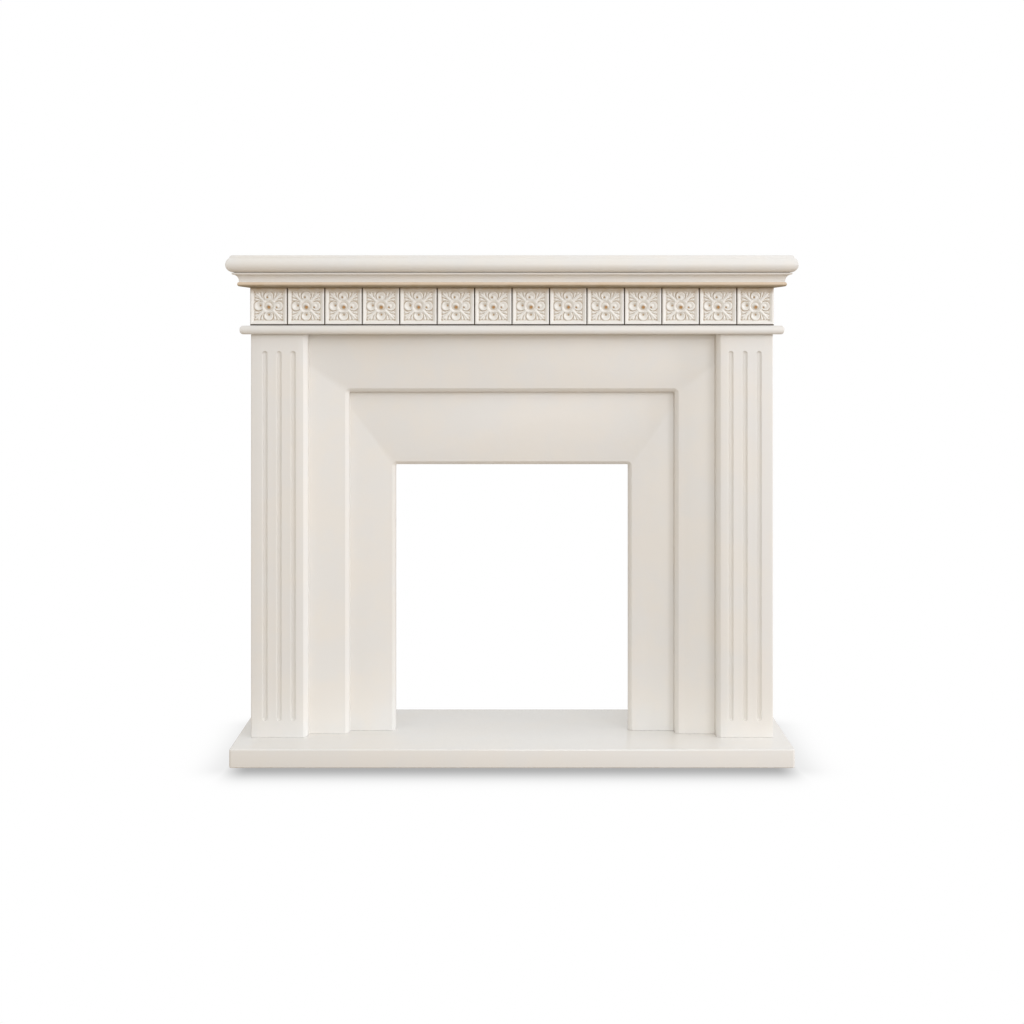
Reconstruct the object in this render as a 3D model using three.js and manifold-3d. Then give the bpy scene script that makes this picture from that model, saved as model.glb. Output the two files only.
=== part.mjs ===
// A fireplace mantelpiece of cast cream marble. A hearth slab carries a fire surround that steps
// back twice around the opening, with a fluted pilaster planted at each side. A bullnosed rail,
// a frieze of carved rosette tiles, a crown moulding and a moulded shelf finish the top.
// The back is open between two side boards and stands against the wall.
// Millimetres, +Z up. The front faces -Y and the wall is at +Y. The origin is on the floor,
// under the middle of the hearth.

import * as THREE from 'three';
import { mergeVertices } from 'three/addons/utils/BufferGeometryUtils.js';
import Module from 'manifold-3d';

const wasm = await Module();
wasm.setup();

// Hearth slab
const HEARTH_WIDTH = 1370;
const HEARTH_DEPTH = 380;
const HEARTH_THICK = 45;
const HEARTH_CORNER = 6;
const HEARTH_ARRIS = 3;

// The surround on the hearth, up to the rail
const GAP = 0.3;
const WALL_Y = HEARTH_DEPTH / 2;
const FRONT_Y = -85;
const HALF_WIDTH = 650;
const SURROUND_HEIGHT = 1004;
const CHEEK_THICK = 22;

// Fluted pilasters
const PILASTER_WIDTH = 140;
const PILASTER_THICK = 35;
const PILASTER_CHAMFER = 9.5;
const PILASTER_OUTER_ROUND = 3;
const FLUTE_COUNT = 3;
const FLUTE_PITCH = 35;
const FLUTE_RADIUS = 6.35;
const FLUTE_DEPTH = 5;
const FLUTE_FOOT = 41;
const FLUTE_HEAD = 962;

// The two boards around the fire, each with a chamfer around its opening
const FRAME_THICK = 29;
const FRAME_OPENING_HALF = 410;
const FRAME_OPENING_TOP = 859;
const FRAME_CHAMFER = 9;
const PANEL_THICK = 25;
const PANEL_HALF = 470;
const PANEL_HEIGHT = 900;
const PANEL_OPENING_HALF = 295;
const PANEL_OPENING_TOP = 674;
const PANEL_CHAMFER = 8;
const OPENING_CORNER = 4;

// Rail, frieze, crown and shelf: projections are measured out from the pilaster faces
const RAIL_THICK = 21.5;
const RAIL_PROJECTION = 24.2;
const RAIL_NOSE = 7.5;
const FRIEZE_HEIGHT = 130.5;
const FRIEZE_PROJECTION = 3;
const FRIEZE_BOARD_THICK = 32;
const FRIEZE_END_THICK = 22;
const CHANNEL_DEPTH = 10.3;
const CHANNEL_HEIGHT = 94.6;
const SHELF_THICK = 43;
const TORUS_OUT = 37.3;
const TORUS_RISE = 19.5;
const TORUS_HALF_WIDTH = 16.7;
const TORUS_HALF_HEIGHT = 18.5;
const OVOLO_RADIUS = 7;
const OVOLO_OUT = 39;

// The crown's mouldings: how far they stand out, and how far they hang below the shelf
const SOFFIT_DROP = 36.5;
const BEAD_OUT = 24;
const BEAD_DROP = 28;
const BEAD_HALF_WIDTH = 5;
const BEAD_HALF_HEIGHT = 5.5;
const COVE_OUT = 37.5;
const COVE_DROP = 21;
const COVE_WIDTH = 12.2;
const COVE_HEIGHT = 16;
const FILLET_OUT = 39.8;
const FILLET_DROP = 4.4;
const CROWN_OUT = 41;

// Rosette tiles
const TILE_COUNT = 14;
const TILE_SIZE = 90.4;
const TILE_PITCH = 93.2;
const TILE_LIFT = 3.5;
const TILE_THICK = 10;
const RIM_EASE = 1;
const RIM_BAND = 4.5;
const RIM_STEP = 1.3;
const RIM_WIDTH = 7.5;
const FIELD_HALF = 36;
const FIELD_LEVEL = 4;
const BOSS_RADIUS = 9.3;
const BOSS_HEIGHT = 7;
const PETAL_RADIUS = 11.2;
const PETAL_RING = 8.2;
const PETAL_HEIGHT = 5.2;
const PETAL_DISH = 2.2;
const PETAL_DISTANCE = 23.5;
const LEAF_BASE = 8.5;
const LOBES_PER_SIDE = 3;
const LOBE_START = 15;
const LOBE_PITCH = 7;
const LOBE_BITE = 12;
const LOBE_TAPER = 0.6;
const MIDRIB_HALF = 1.4;
const MIDRIB_HEIGHT = 5.8;
const MIDRIB_FALL = 0.5;
const ROOT = 2;

// Heights above the floor and planes in depth that follow
const HEARTH_TOP = HEARTH_THICK;
const RAIL_Z = HEARTH_TOP + SURROUND_HEIGHT;
const FRIEZE_Z = RAIL_Z + RAIL_THICK;
const SHELF_Z = FRIEZE_Z + FRIEZE_HEIGHT;
const FRAME_FRONT_Y = FRONT_Y + PILASTER_THICK;
const PANEL_FRONT_Y = FRAME_FRONT_Y + FRAME_THICK;
const FRIEZE_FRONT_Y = FRONT_Y - FRIEZE_PROJECTION;

// Arcs are drawn with this many straight steps to a quarter turn
const ARC_STEPS = 4;

// Finishes of the marble
const HONED = { color: 0xe7e2d8, roughness: 0.45 };
const POLISHED = { color: 0xebe7e1, roughness: 0.18 };
const GILT_WASHED = { color: 0xdfd2be, roughness: 0.45 };
const BROWN_WASHED = { color: 0xdccfbd, roughness: 0.5 };

// Points along an elliptical arc, angles in degrees
function arc(centreX, centreY, radiusX, radiusY, from, to, steps = ARC_STEPS) {
  const start = THREE.MathUtils.degToRad(from);
  const end = THREE.MathUtils.degToRad(to);
  return new THREE.EllipseCurve(centreX, centreY, radiusX, radiusY, start, end, from > to).getPoints(steps);
}

// A closed body through rings of points in space, with equal numbers of points. The two ends are
// closed over the flat outlines given for them, which run anticlockwise seen from the last ring.
function loft(rings, firstOutline, lastOutline = firstOutline) {
  const count = rings[0].length;
  const triangles = [];
  for (let level = 0; level < rings.length - 1; level += 1) {
    for (let i = 0; i < count; i += 1) {
      const a = level * count + i;
      const b = level * count + (i + 1) % count;
      triangles.push(a, b, b + count, a, b + count, a + count);
    }
  }
  const last = (rings.length - 1) * count;
  for (const [a, b, c] of THREE.ShapeUtils.triangulateShape(firstOutline, [])) {
    triangles.push(c, b, a);
  }
  for (const [a, b, c] of THREE.ShapeUtils.triangulateShape(lastOutline, [])) {
    triangles.push(last + a, last + b, last + c);
  }
  const positions = rings.flat().flatMap((point) => point.toArray());
  const geometry = new THREE.BufferGeometry();
  geometry.setAttribute('position', new THREE.Float32BufferAttribute(positions, 3));
  geometry.setIndex(triangles);
  return geometry;
}

function raise(outline, z) {
  return outline.map((point) => new THREE.Vector3(point.x, point.y, z));
}

// A body of flat outlines stacked upwards, each given with its height
function stack(storeys) {
  const rings = storeys.map(([outline, z]) => raise(outline, z));
  return loft(rings, storeys[0][0], storeys.at(-1)[0]);
}

// A box between two corners
function block(low, high) {
  const size = [0, 1, 2].map((axis) => high[axis] - low[axis]);
  const centre = [0, 1, 2].map((axis) => (high[axis] + low[axis]) / 2);
  return new THREE.BoxGeometry(...size).translate(...centre);
}

// The same shape as a solid for cutting and joining: shared corners are merged, and triangles
// that have shrunk to a line are dropped
function solid(geometry) {
  const bare = geometry.clone();
  bare.deleteAttribute('normal');
  bare.deleteAttribute('uv');
  const merged = mergeVertices(bare, 1e-4);
  const index = Array.from(merged.index.array);
  const triVerts = [];
  for (let i = 0; i < index.length; i += 3) {
    const [a, b, c] = index.slice(i, i + 3);
    if (a !== b && b !== c && c !== a) {
      triVerts.push(a, b, c);
    }
  }
  return new wasm.Manifold(new wasm.Mesh({
    numProp: 3,
    vertProperties: merged.attributes.position.array,
    triVerts: Uint32Array.from(triVerts),
  }));
}

function geometryOf(body) {
  const { vertProperties, triVerts } = body.getMesh();
  const geometry = new THREE.BufferGeometry();
  geometry.setAttribute('position', new THREE.BufferAttribute(vertProperties, 3));
  geometry.setIndex(new THREE.BufferAttribute(triVerts, 1));
  return geometry;
}

function piece(name, geometry, finish) {
  const material = new THREE.MeshStandardMaterial({ ...finish, metalness: 0, flatShading: true });
  const mesh = new THREE.Mesh(geometry, material);
  mesh.name = name;
  return mesh;
}

// The hearth is one slab with softened arrises and small rounded corners
function hearth() {
  const x = HEARTH_WIDTH / 2;
  const y = HEARTH_DEPTH / 2;
  const r = HEARTH_CORNER;
  const plan = new THREE.Shape([
    ...arc(x - r, y - r, r, r, 0, 90, 2),
    ...arc(-x + r, y - r, r, r, 90, 180, 2),
    ...arc(-x + r, -y + r, r, r, 180, 270, 2),
    ...arc(x - r, -y + r, r, r, 270, 360, 2),
  ]);
  const slab = new THREE.ExtrudeGeometry(plan, {
    depth: HEARTH_THICK - 2 * HEARTH_ARRIS,
    bevelThickness: HEARTH_ARRIS,
    bevelSize: HEARTH_ARRIS,
    bevelOffset: -HEARTH_ARRIS,
    bevelSegments: 2,
  });
  return piece('hearth', slab.translate(0, 0, HEARTH_ARRIS), POLISHED);
}

// A pilaster is a plank with three round-ended flutes. Its inner front edge is chamfered like the
// boards beside it, and the outer one only eased.
function pilaster(name, side) {
  const inner = HALF_WIDTH - PILASTER_WIDTH;
  const back = FRAME_FRONT_Y - GAP;
  const edges = [
    new THREE.Vector2(inner, back),
    new THREE.Vector2(inner, FRONT_Y + PILASTER_CHAMFER),
    new THREE.Vector2(inner + PILASTER_CHAMFER, FRONT_Y),
    ...arc(
      HALF_WIDTH - PILASTER_OUTER_ROUND, FRONT_Y + PILASTER_OUTER_ROUND,
      PILASTER_OUTER_ROUND, PILASTER_OUTER_ROUND, 270, 360, 2,
    ),
    new THREE.Vector2(HALF_WIDTH, back),
  ];
  const plan = new THREE.Shape(edges.map((point) => new THREE.Vector2(side * point.x, point.y)));
  const plank = new THREE.ExtrudeGeometry(plan, { depth: SURROUND_HEIGHT - 2 * GAP, bevelEnabled: false });
  let body = solid(plank.translate(0, 0, HEARTH_TOP + GAP));
  const sunk = FLUTE_RADIUS - FLUTE_DEPTH;
  const reach = Math.sqrt(FLUTE_RADIUS ** 2 - sunk ** 2);
  const length = FLUTE_HEAD - FLUTE_FOOT - 2 * reach;
  const middle = HEARTH_TOP + (FLUTE_HEAD + FLUTE_FOOT) / 2;
  for (let i = 0; i < FLUTE_COUNT; i += 1) {
    const offset = (i - (FLUTE_COUNT - 1) / 2) * FLUTE_PITCH;
    const x = side * (HALF_WIDTH - PILASTER_WIDTH / 2 + offset);
    const cutter = new THREE.CapsuleGeometry(FLUTE_RADIUS, length, 3, 12).rotateX(Math.PI / 2);
    body = body.subtract(solid(cutter.translate(x, FRONT_Y - sunk, middle)));
  }
  return piece(name, geometryOf(body), HONED);
}

// The outline of a board's opening, which runs out through its foot
function archOutline(half, top, corner) {
  const below = -10;
  return [
    new THREE.Vector2(-half, below),
    new THREE.Vector2(half, below),
    ...arc(half - corner, top - corner, corner, corner, 0, 90),
    ...arc(-half + corner, top - corner, corner, corner, 90, 180),
  ];
}

// A board that stands around the fire, drawn lying on its back: x across, y up, z to the front.
// The opening's front edge is chamfered all the way round.
function openBoard(name, board) {
  const { thick, chamfer } = board;
  const outline = (wider) => archOutline(
    board.openingHalf + wider, board.openingTop + wider, OPENING_CORNER + wider,
  );
  const storeys = [
    [outline(0), -1],
    [outline(0), thick - chamfer],
    [outline(chamfer), thick],
    [outline(chamfer), thick + 1],
  ];
  const slab = solid(block([-board.half, GAP, 0], [board.half, board.height, thick]));
  const mesh = piece(name, geometryOf(slab.subtract(solid(stack(storeys)))), HONED);
  mesh.rotation.x = Math.PI / 2;
  mesh.position.set(0, board.frontY + thick, HEARTH_TOP);
  return mesh;
}

function outerFrame() {
  return openBoard('outer_frame', {
    half: HALF_WIDTH - CHEEK_THICK - GAP,
    height: SURROUND_HEIGHT - GAP,
    thick: FRAME_THICK - GAP,
    frontY: FRAME_FRONT_Y,
    openingHalf: FRAME_OPENING_HALF,
    openingTop: FRAME_OPENING_TOP,
    chamfer: FRAME_CHAMFER,
  });
}

function backPanel() {
  return openBoard('back_panel', {
    half: PANEL_HALF,
    height: PANEL_HEIGHT,
    thick: PANEL_THICK,
    frontY: PANEL_FRONT_Y,
    openingHalf: PANEL_OPENING_HALF,
    openingTop: PANEL_OPENING_TOP,
    chamfer: PANEL_CHAMFER,
  });
}

// A side board runs back from the pilaster to the wall
function cheek(name, side) {
  const board = block(
    [HALF_WIDTH - CHEEK_THICK, FRAME_FRONT_Y, HEARTH_TOP + GAP],
    [HALF_WIDTH, WALL_Y, RAIL_Z - GAP],
  );
  const mesh = piece(name, board, HONED);
  mesh.rotation.z = side > 0 ? 0 : Math.PI;
  mesh.position.y = side > 0 ? 0 : FRAME_FRONT_Y + WALL_Y;
  return mesh;
}

// The plan of a slab against the wall that projects past the pilasters in front and at both ends
function slabPlan(projection) {
  const x = HALF_WIDTH + projection;
  const y = FRONT_Y - projection;
  return [
    new THREE.Vector2(-x, y),
    new THREE.Vector2(x, y),
    new THREE.Vector2(x, WALL_Y),
    new THREE.Vector2(-x, WALL_Y),
  ];
}

// A slab whose edge follows a profile of points, x out from the pilaster faces and y up
function mouldedSlab(name, profile) {
  const storeys = profile.map((point) => [slabPlan(point.x), point.y]);
  return piece(name, stack(storeys), HONED);
}

function beadRail() {
  const half = RAIL_THICK / 2;
  const centre = RAIL_Z + half;
  const nose = arc(RAIL_PROJECTION - RAIL_NOSE, centre, RAIL_NOSE, half, -90, 90, 6);
  return mouldedSlab('bead_rail', nose);
}

// The frieze's front board has a shallow channel for the tiles, open at the foot and both ends
function friezeBoard() {
  const x = HALF_WIDTH + FRIEZE_PROJECTION;
  const board = solid(block(
    [-x, FRIEZE_FRONT_Y, FRIEZE_Z + GAP],
    [x, FRIEZE_FRONT_Y + FRIEZE_BOARD_THICK, SHELF_Z - GAP],
  ));
  const channel = solid(block(
    [-x - 10, FRIEZE_FRONT_Y - 10, FRIEZE_Z - 10],
    [x + 10, FRIEZE_FRONT_Y + CHANNEL_DEPTH, FRIEZE_Z + CHANNEL_HEIGHT],
  ));
  return piece('frieze_board', geometryOf(board.subtract(channel)), HONED);
}

function friezeEnd(name, side) {
  const outer = side * (HALF_WIDTH + FRIEZE_PROJECTION);
  const inner = outer - side * FRIEZE_END_THICK;
  const board = block(
    [Math.min(inner, outer), FRIEZE_FRONT_Y + FRIEZE_BOARD_THICK + GAP, FRIEZE_Z + GAP],
    [Math.max(inner, outer), WALL_Y, SHELF_Z - GAP],
  );
  return piece(name, board, HONED);
}

// The crown's section: a soffit over the tiles, a round bead, a quirk, a cove and a small fillet
function crownProfile() {
  const back = FRIEZE_PROJECTION + GAP;
  const at = (out, drop) => new THREE.Vector2(out, SHELF_Z - drop);
  return [
    at(back, SOFFIT_DROP),
    ...arc(BEAD_OUT, SHELF_Z - BEAD_DROP, BEAD_HALF_WIDTH, BEAD_HALF_HEIGHT, -100, 80, 6),
    at(COVE_OUT - COVE_WIDTH, COVE_DROP),
    ...arc(COVE_OUT, SHELF_Z - COVE_DROP, COVE_WIDTH, COVE_HEIGHT, 165, 90),
    at(FILLET_OUT, FILLET_DROP),
    at(CROWN_OUT, GAP),
    at(back, GAP),
  ];
}

// The crown is three lengths, mitred at the front corners and square at the wall
function crown() {
  const profile = crownProfile();
  const mitre = (side) => (point) => (
    new THREE.Vector3(side * (HALF_WIDTH + point.x), FRONT_Y - point.x, point.y)
  );
  const nearMitre = (side) => (point) => mitre(side)(point).add(new THREE.Vector3(0, GAP, 0));
  const wall = (side) => (point) => new THREE.Vector3(side * (HALF_WIDTH + point.x), WALL_Y, point.y);
  const lengths = [
    ['crown_front', mitre(1), mitre(-1)],
    ['crown_right', wall(1), nearMitre(1)],
    ['crown_left', nearMitre(-1), wall(-1)],
  ];
  return lengths.map(([name, start, end]) => {
    const rings = [profile.map(start), profile.map(end)];
    return piece(name, loft(rings, profile), GILT_WASHED);
  });
}

// The shelf's edge is a deep torus over a quirk, with a small quarter round on top
function mantelShelf() {
  const top = SHELF_Z + SHELF_THICK;
  return mouldedSlab('mantel_shelf', [
    new THREE.Vector2(TORUS_OUT - 2, SHELF_Z),
    ...arc(TORUS_OUT, SHELF_Z + TORUS_RISE, TORUS_HALF_WIDTH, TORUS_HALF_HEIGHT, -90, 59, 8),
    ...arc(OVOLO_OUT, top - OVOLO_RADIUS, OVOLO_RADIUS, OVOLO_RADIUS, 0, 90, 3),
  ]);
}

function square(half) {
  return [
    new THREE.Vector2(-half, -half),
    new THREE.Vector2(half, -half),
    new THREE.Vector2(half, half),
    new THREE.Vector2(-half, half),
  ];
}

// A tile lies face up while it is carved: a rim with two steps around a sunk field
function tileBlank() {
  const half = TILE_SIZE / 2;
  return solid(stack([
    [square(half), 0],
    [square(half), TILE_THICK - RIM_EASE],
    [square(half - RIM_EASE), TILE_THICK],
    [square(half - RIM_BAND), TILE_THICK],
    [square(half - RIM_BAND - 0.5), TILE_THICK - RIM_STEP],
    [square(half - RIM_WIDTH), TILE_THICK - RIM_STEP],
    [square(FIELD_HALF), FIELD_LEVEL],
  ]));
}

// A body turned about an upright axis, rooted a little way into the field
function turned(profile, segments, turn) {
  const rooted = [new THREE.Vector2(0, -ROOT), new THREE.Vector2(profile[0].x, -ROOT), ...profile];
  return new THREE.LatheGeometry(rooted, segments, turn).rotateX(Math.PI / 2);
}

function boss() {
  const dome = turned(arc(0, 0, BOSS_RADIUS, BOSS_HEIGHT, 0, 90, 3), 8, 0);
  return solid(dome.translate(0, 0, FIELD_LEVEL));
}

// A petal is a round cup with a raised ring
function petal(angle) {
  const cup = turned([
    new THREE.Vector2(PETAL_RADIUS, 0.6),
    new THREE.Vector2(PETAL_RING, PETAL_HEIGHT),
    new THREE.Vector2(0, PETAL_DISH),
  ], 8, Math.PI / 8);
  return solid(cup.translate(PETAL_DISTANCE, 0, FIELD_LEVEL).rotateZ(angle));
}

// A leaf fills a corner of the field. Its outline runs out along one side, past a notch and a tip
// for each lobe, round the corner and back along the other side. A lobe's notch and tip rise to
// one root on the midrib, which slopes down towards the corner.
function leaf(angle) {
  const edge = FIELD_HALF - 0.5;
  const side = [];
  for (let i = 0; i < LOBES_PER_SIDE; i += 1) {
    const tip = LOBE_START + LOBE_PITCH * i;
    const root = LOBE_PITCH * (i + 2);
    side.push({ foot: new THREE.Vector2(edge - LOBE_BITE * LOBE_TAPER ** i, tip - LOBE_PITCH / 2), root });
    side.push({ foot: new THREE.Vector2(edge, tip), root });
  }
  const swap = ({ foot, root }) => ({ foot: new THREE.Vector2(foot.y, foot.x), root });
  const start = { foot: new THREE.Vector2(LEAF_BASE, LEAF_BASE), root: LEAF_BASE + 1 };
  const corner = { foot: new THREE.Vector2(edge, edge), root: edge - 2 };
  const points = [start, ...side, corner, ...side.map(swap).reverse()];
  const feet = points.map(({ foot }) => foot);
  const crest = points.map(({ foot, root }) => {
    const lean = Math.sign(foot.x - foot.y) * MIDRIB_HALF * Math.sqrt(1 - root / edge);
    return new THREE.Vector2(root + lean, root - lean);
  });
  const ridge = points.map(({ root }, i) => (
    new THREE.Vector3(crest[i].x, crest[i].y, MIDRIB_HEIGHT * (1 - MIDRIB_FALL * root / edge))
  ));
  const blade = loft([raise(feet, -ROOT / 4), ridge], feet, crest);
  return solid(blade.translate(0, 0, FIELD_LEVEL).rotateZ(angle));
}

function rosetteTile() {
  let body = tileBlank().add(boss());
  for (let i = 0; i < 4; i += 1) {
    const angle = i * Math.PI / 2;
    body = body.add(leaf(angle)).add(petal(angle));
  }
  return geometryOf(body);
}

// The tiles stand side by side in the channel, with open joints between them
function tiles() {
  const carved = rosetteTile();
  return Array.from({ length: TILE_COUNT }, (_, i) => {
    const number = String(i + 1).padStart(2, '0');
    const tile = piece(`rosette_tile_${number}`, carved, BROWN_WASHED);
    tile.rotation.x = Math.PI / 2;
    tile.position.set(
      (i - (TILE_COUNT - 1) / 2) * TILE_PITCH,
      FRIEZE_FRONT_Y + TILE_THICK,
      FRIEZE_Z + TILE_LIFT + TILE_SIZE / 2,
    );
    return tile;
  });
}

const mantelpiece = new THREE.Group();
mantelpiece.name = 'fireplace_mantelpiece';
mantelpiece.add(
  hearth(),
  pilaster('left_pilaster', -1),
  pilaster('right_pilaster', 1),
  outerFrame(),
  backPanel(),
  cheek('left_cheek', -1),
  cheek('right_cheek', 1),
  beadRail(),
  friezeBoard(),
  friezeEnd('frieze_left_end', -1),
  friezeEnd('frieze_right_end', 1),
  ...tiles(),
  ...crown(),
  mantelShelf(),
);

export default mantelpiece;
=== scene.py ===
# %% [markdown]
# # A fireplace mantelpiece in cream cast marble
#
# The object is a fireplace surround: a hearth slab on the floor, boards that step back around the
# fire's opening, two fluted pilasters, a rounded rail, a row of fourteen carved tiles, a crown
# moulding with a brown and gold wash on its bead, and a moulded shelf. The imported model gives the
# place and size of every piece, so the first cell loads it, and each piece is then made again in
# its own place with the fine edges, the carving and the stone that a camera would see.

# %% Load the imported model
import math

import bmesh
import bpy
import numpy as np
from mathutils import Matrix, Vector


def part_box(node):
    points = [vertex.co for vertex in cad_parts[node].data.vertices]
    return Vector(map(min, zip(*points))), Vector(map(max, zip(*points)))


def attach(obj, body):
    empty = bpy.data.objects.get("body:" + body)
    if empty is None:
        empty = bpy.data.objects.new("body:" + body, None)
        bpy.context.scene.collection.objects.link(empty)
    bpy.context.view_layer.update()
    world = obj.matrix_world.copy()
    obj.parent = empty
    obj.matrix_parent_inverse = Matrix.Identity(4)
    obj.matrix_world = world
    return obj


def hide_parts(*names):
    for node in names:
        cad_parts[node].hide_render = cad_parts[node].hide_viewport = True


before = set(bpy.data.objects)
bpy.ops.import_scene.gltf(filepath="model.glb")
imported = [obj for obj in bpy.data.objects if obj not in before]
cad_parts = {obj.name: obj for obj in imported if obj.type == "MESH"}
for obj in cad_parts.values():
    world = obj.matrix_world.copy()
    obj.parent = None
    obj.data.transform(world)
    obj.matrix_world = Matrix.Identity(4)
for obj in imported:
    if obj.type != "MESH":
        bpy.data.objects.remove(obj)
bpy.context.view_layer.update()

# %% [markdown]
# ## The camera
#
# The object is seen square from the front. The camera is level, so upright edges stay parallel, and
# the lens is shifted down to bring the hearth into the picture. The lens, the distance and the
# height were worked out from the two ends of the hearth slab and its front and back edges.

# %% Set up the camera
LENS_MM = 52.44
LENS_DROP = -0.1826
CAMERA_DISTANCE = 3.798
CAMERA_HEIGHT = 1.072
camera_data = bpy.data.cameras.new("front_view")
camera_data.lens = LENS_MM
camera_data.shift_y = LENS_DROP
camera = bpy.data.objects.new("front_view", camera_data)
camera.location = (0, -CAMERA_DISTANCE, CAMERA_HEIGHT)
camera.rotation_euler = (math.radians(90), 0, 0)
bpy.context.scene.collection.objects.link(camera)
bpy.context.scene.camera = camera
print("camera", tuple(camera.location), "lens", camera_data.lens)

# %% [markdown]
# ## Shader maths as arithmetic
#
# A procedural stone is a sum of noises. Wiring Math nodes by hand hides the sum, so a small class
# wraps an output socket and turns +, - and * into Math nodes. A bench is a node tree on which every
# other node is made through a single method: the node's type, its settings, then what each of its
# sockets receives. A finish is a bench with a material on it.


# %% Wires that can be added and multiplied
class Wire:
    """An output socket that can be used in a sum."""

    def __init__(self, bench, socket):
        self.bench = bench
        self.socket = socket

    def maths(self, operation, first, second):
        return self.bench.make("ShaderNodeMath", {"operation": operation}, {0: first, 1: second})

    def __add__(self, other):
        return self.maths("ADD", self, other)

    def __sub__(self, other):
        return self.maths("SUBTRACT", self, other)

    def __rsub__(self, other):
        return self.maths("SUBTRACT", other, self)

    def __mul__(self, other):
        return self.maths("MULTIPLY", self, other)

    def at_least(self, other):
        return self.maths("MAXIMUM", self, other)

    __radd__ = __add__


# %% The bench
class Bench:
    """A node tree and the tools for adding to it."""

    def __init__(self, tree):
        self.tree = tree

    def make(self, kind, settings, sockets, output=0):
        node = self.tree.nodes.new(kind)
        for name, value in settings.items():
            setattr(node, name, value)
        for name, value in sockets.items():
            self.feed(node.inputs[name], value)
        return Wire(self, node.outputs[output])

    def feed(self, socket, value):
        if isinstance(value, Wire):
            self.tree.links.new(value.socket, socket)
        else:
            socket.default_value = value

    def axis(self, source, name):
        return self.make("ShaderNodeSeparateXYZ", {}, {0: source}, name)

    def for_camera(self, unseen, seen, output):
        """One shader for the camera's own view and another for all other light."""
        looks = self.make("ShaderNodeLightPath", {}, {}, "Is Camera Ray")
        chosen = self.make("ShaderNodeMixShader", {}, {0: looks, 1: unseen, 2: seen})
        self.feed(self.tree.nodes[output].inputs["Surface"], chosen)


# %% A finish
class Finish(Bench):
    """One material, and the bench on which its nodes are wired."""

    def __init__(self, name, roughness):
        self.material = bpy.data.materials.new(name)
        self.material.use_nodes = True
        super().__init__(self.material.node_tree)
        self.shader = self.tree.nodes["Principled BSDF"]
        self.shader.inputs["Roughness"].default_value = roughness

    def place(self):
        return self.make("ShaderNodeTexCoord", {}, {}, "Object")

    def noise(self, scale, detail=2.0, roughness=0.5):
        """Soft random clouds, this many to the metre."""
        sockets = {
            "Vector": self.place(), "Scale": scale, "Detail": detail, "Roughness": roughness,
        }
        return self.make("ShaderNodeTexNoise", {}, sockets)

    def between(self, value, low, high):
        """0 at low, 1 at high, and a smooth step in between."""
        settings = {"interpolation_type": "SMOOTHSTEP"}
        return self.make("ShaderNodeMapRange", settings, {"Value": value, 1: low, 2: high})

    def blend(self, share, under, over):
        """One colour laid over another where share is 1."""
        settings = {"data_type": "RGBA"}
        return self.make("ShaderNodeMix", settings, {0: share, 6: under, 7: over}, 2)

    def relief(self, height, depth):
        """Fine unevenness, in metres, as a bump on the shading."""
        bump = self.make("ShaderNodeBump", {}, {"Strength": 1.0, "Distance": depth, "Height": height})
        self.feed(self.shader.inputs["Normal"], bump)

    def paint(self, colour):
        self.feed(self.shader.inputs["Base Color"], colour)


# %% [markdown]
# ## The studio
#
# Product pictures of pale stone are taken in a white room. Here the room is an even dome of light,
# and three large lamps add to it: a strong one far away on the right, one in front on the right and
# one in front. So a moulding is bright on its upper and right sides and dark underneath. The
# camera itself sees the room and the floor as plain white paper.

# %% Light the room
WHITE = (1, 1, 1, 1)
ROOM_LIGHT = 0.825
world = bpy.data.worlds.new("white_room")
world.use_nodes = True
bpy.context.scene.world = world
bpy.context.scene.view_settings.view_transform = "Standard"
room = Bench(world.node_tree)
lit = room.make("ShaderNodeBackground", {}, {"Color": WHITE, "Strength": ROOM_LIGHT})
seen = room.make("ShaderNodeBackground", {}, {"Color": WHITE, "Strength": 1.0})
room.for_camera(lit, seen, "World Output")
print("room light", ROOM_LIGHT)


# %% Hang the lamps
LAMPS_AIM = Vector((0, 0, 0.6))


def softbox(name, place, width, power, tint):
    """A square lamp at a place, turned towards the middle of the object."""
    lamp_data = bpy.data.lights.new(name, "AREA")
    lamp_data.shape = "SQUARE"
    lamp_data.size = width
    lamp_data.energy = power
    lamp_data.color = tint
    lamp = bpy.data.objects.new(name, lamp_data)
    lamp.location = place
    lamp.rotation_euler = (LAMPS_AIM - Vector(place)).to_track_quat("-Z", "Y").to_euler()
    bpy.context.scene.collection.objects.link(lamp)


softbox("side_right", (9.0, -1.8, 2.1), 3.6, 310, (0.95, 1.0, 1.12))
softbox("front_right", (4.5, -6.0, 3.4), 2.4, 76, (1.0, 1.0, 1.08))
softbox("front", (0.8, -6.0, 1.8), 2.0, 72, (0.94, 1.0, 1.08))
print("lamps:", [lamp.name for lamp in bpy.data.lights])

# %% [markdown]
# The floor is a sheet of paper. The stone gets a little light back from it. The camera sees it
# white, with a soft shadow painted on it, which lies along the foot of the slab's front and thins out
# beside it.

# %% Lay the floor
FLOOR_REACH = 12
FLOOR_Z = -0.0004
floor_mesh = bpy.data.meshes.new("floor")
corners = [
    (-FLOOR_REACH, -FLOOR_REACH), (FLOOR_REACH, -FLOOR_REACH),
    (FLOOR_REACH, FLOOR_REACH), (-FLOOR_REACH, FLOOR_REACH),
]
floor_mesh.from_pydata([(x, y, FLOOR_Z) for x, y in corners], [], [(0, 1, 2, 3)])
floor = bpy.data.objects.new("floor", floor_mesh)
bpy.context.scene.collection.objects.link(floor)
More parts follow.
